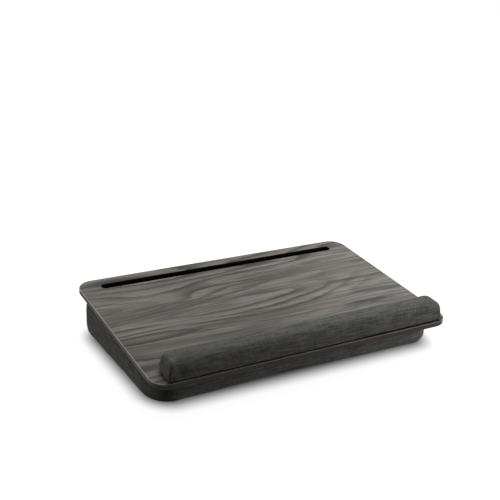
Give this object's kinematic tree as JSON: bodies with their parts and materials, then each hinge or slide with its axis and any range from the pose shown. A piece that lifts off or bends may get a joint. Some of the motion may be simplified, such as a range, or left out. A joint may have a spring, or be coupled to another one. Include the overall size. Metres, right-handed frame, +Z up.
{
  "type": "lap tray with cushion",
  "caption": "Lap tray: a wood-grain board with a long slot along its back and a padded wrist rest along its front, on a zipped bead-filled wedge cushion.",
  "frame": {"origin": "on the surface the tray stands on, under the middle of its bounding box", "axes": "+X to the user's right along the board's length, +Y to the back edge with the slot, +Z up"},
  "size_m": [0.55, 0.3498, 0.0903],
  "materials": {
    "wood_grain_laminate": "matt printed wood-grain laminate, dark grey",
    "fibreboard": "raw fibreboard, sealed dark in the slot",
    "backing_sheet": "matt black backing paper",
    "edge_tape": "satin dark brown edge tape",
    "charcoal_fabric": "heathered charcoal weave with a short nap",
    "foam": "grey polyurethane foam",
    "stiff_sheet": "black plastic sheet",
    "adhesive_tape": "white foam tape",
    "hook_tape": "black hook tape",
    "loop_tape": "black loop tape",
    "liner_fabric": "plain pale liner cloth",
    "beads": "white foam beads",
    "zip_webbing": "black woven tape",
    "zip_teeth": "black nylon coil",
    "zip_metal": "black lacquered metal"
  },
  "bodies": {
    "tray": {"top_laminate": "wood_grain_laminate", "board_core": "fibreboard", "bottom_laminate": "backing_sheet", "edge_band": "edge_tape", "wrist_rest_cover": "charcoal_fabric", "wrist_rest_foam": "foam", "wrist_rest_base": "stiff_sheet", "wrist_rest_tapes": "adhesive_tape", "hook_strips": "hook_tape", "loop_strips": "loop_tape", "cushion_top_panel": "charcoal_fabric", "cushion_side_band": "charcoal_fabric", "cushion_bottom_panel": "charcoal_fabric", "inner_bag": "liner_fabric", "bead_fill": "beads", "zip_tape_upper": "zip_webbing", "zip_tape_lower": "zip_webbing", "zip_chain": "zip_teeth", "zip_stops": "zip_metal"},
    "slider": {"zip_slider": "zip_metal"},
    "pull": {"zip_pull": "zip_metal"}
  },
  "joints": [
    {"name": "zip_slide", "type": "slide", "parent": "tray", "child": "slider", "axis": [-1, 0, 0], "range_m": [0, 0.3625]},
    {"name": "pull_swing", "type": "hinge", "parent": "slider", "child": "pull", "pos_m": [0.1813, 0.17247, 0.03925], "axis": [0, 0, -1], "range_deg": [0, 175]}
  ]
}
